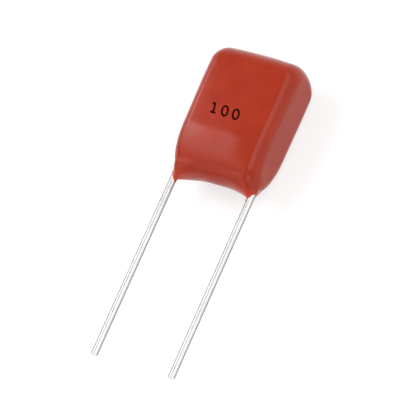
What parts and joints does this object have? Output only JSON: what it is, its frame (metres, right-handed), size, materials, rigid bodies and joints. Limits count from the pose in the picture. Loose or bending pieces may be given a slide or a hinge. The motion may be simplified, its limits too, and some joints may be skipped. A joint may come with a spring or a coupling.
{
  "type": "polyester film capacitor",
  "caption": "Dipped box-shaped film capacitor with two parallel wire leads, for through-hole circuit boards.",
  "frame": {"origin": "the middle of the part's outline, on the surface it lies on, under its broad back", "axes": "+X from the left lead to the right one, -Y the way the leads leave the body, +Z the normal of the marked front face"},
  "size_m": [0.0088, 0.0295, 0.0054],
  "materials": {
    "red_epoxy": "semi-gloss cured epoxy powder",
    "metallised_film": "rolled film with a metal layer",
    "plain_film": "clear plain film",
    "sprayed_zinc": "rough sprayed metal",
    "weld_metal": "melted and set",
    "tinned_wire": "bright tin"
  },
  "bodies": {
    "root": {"epoxy_coating": "red_epoxy", "film_winding": "metallised_film", "outer_wrap": "plain_film", "end_spray_left": "sprayed_zinc", "end_spray_right": "sprayed_zinc", "weld_left": "weld_metal", "weld_right": "weld_metal", "lead_left": "tinned_wire", "lead_right": "tinned_wire"}
  },
  "joints": []
}
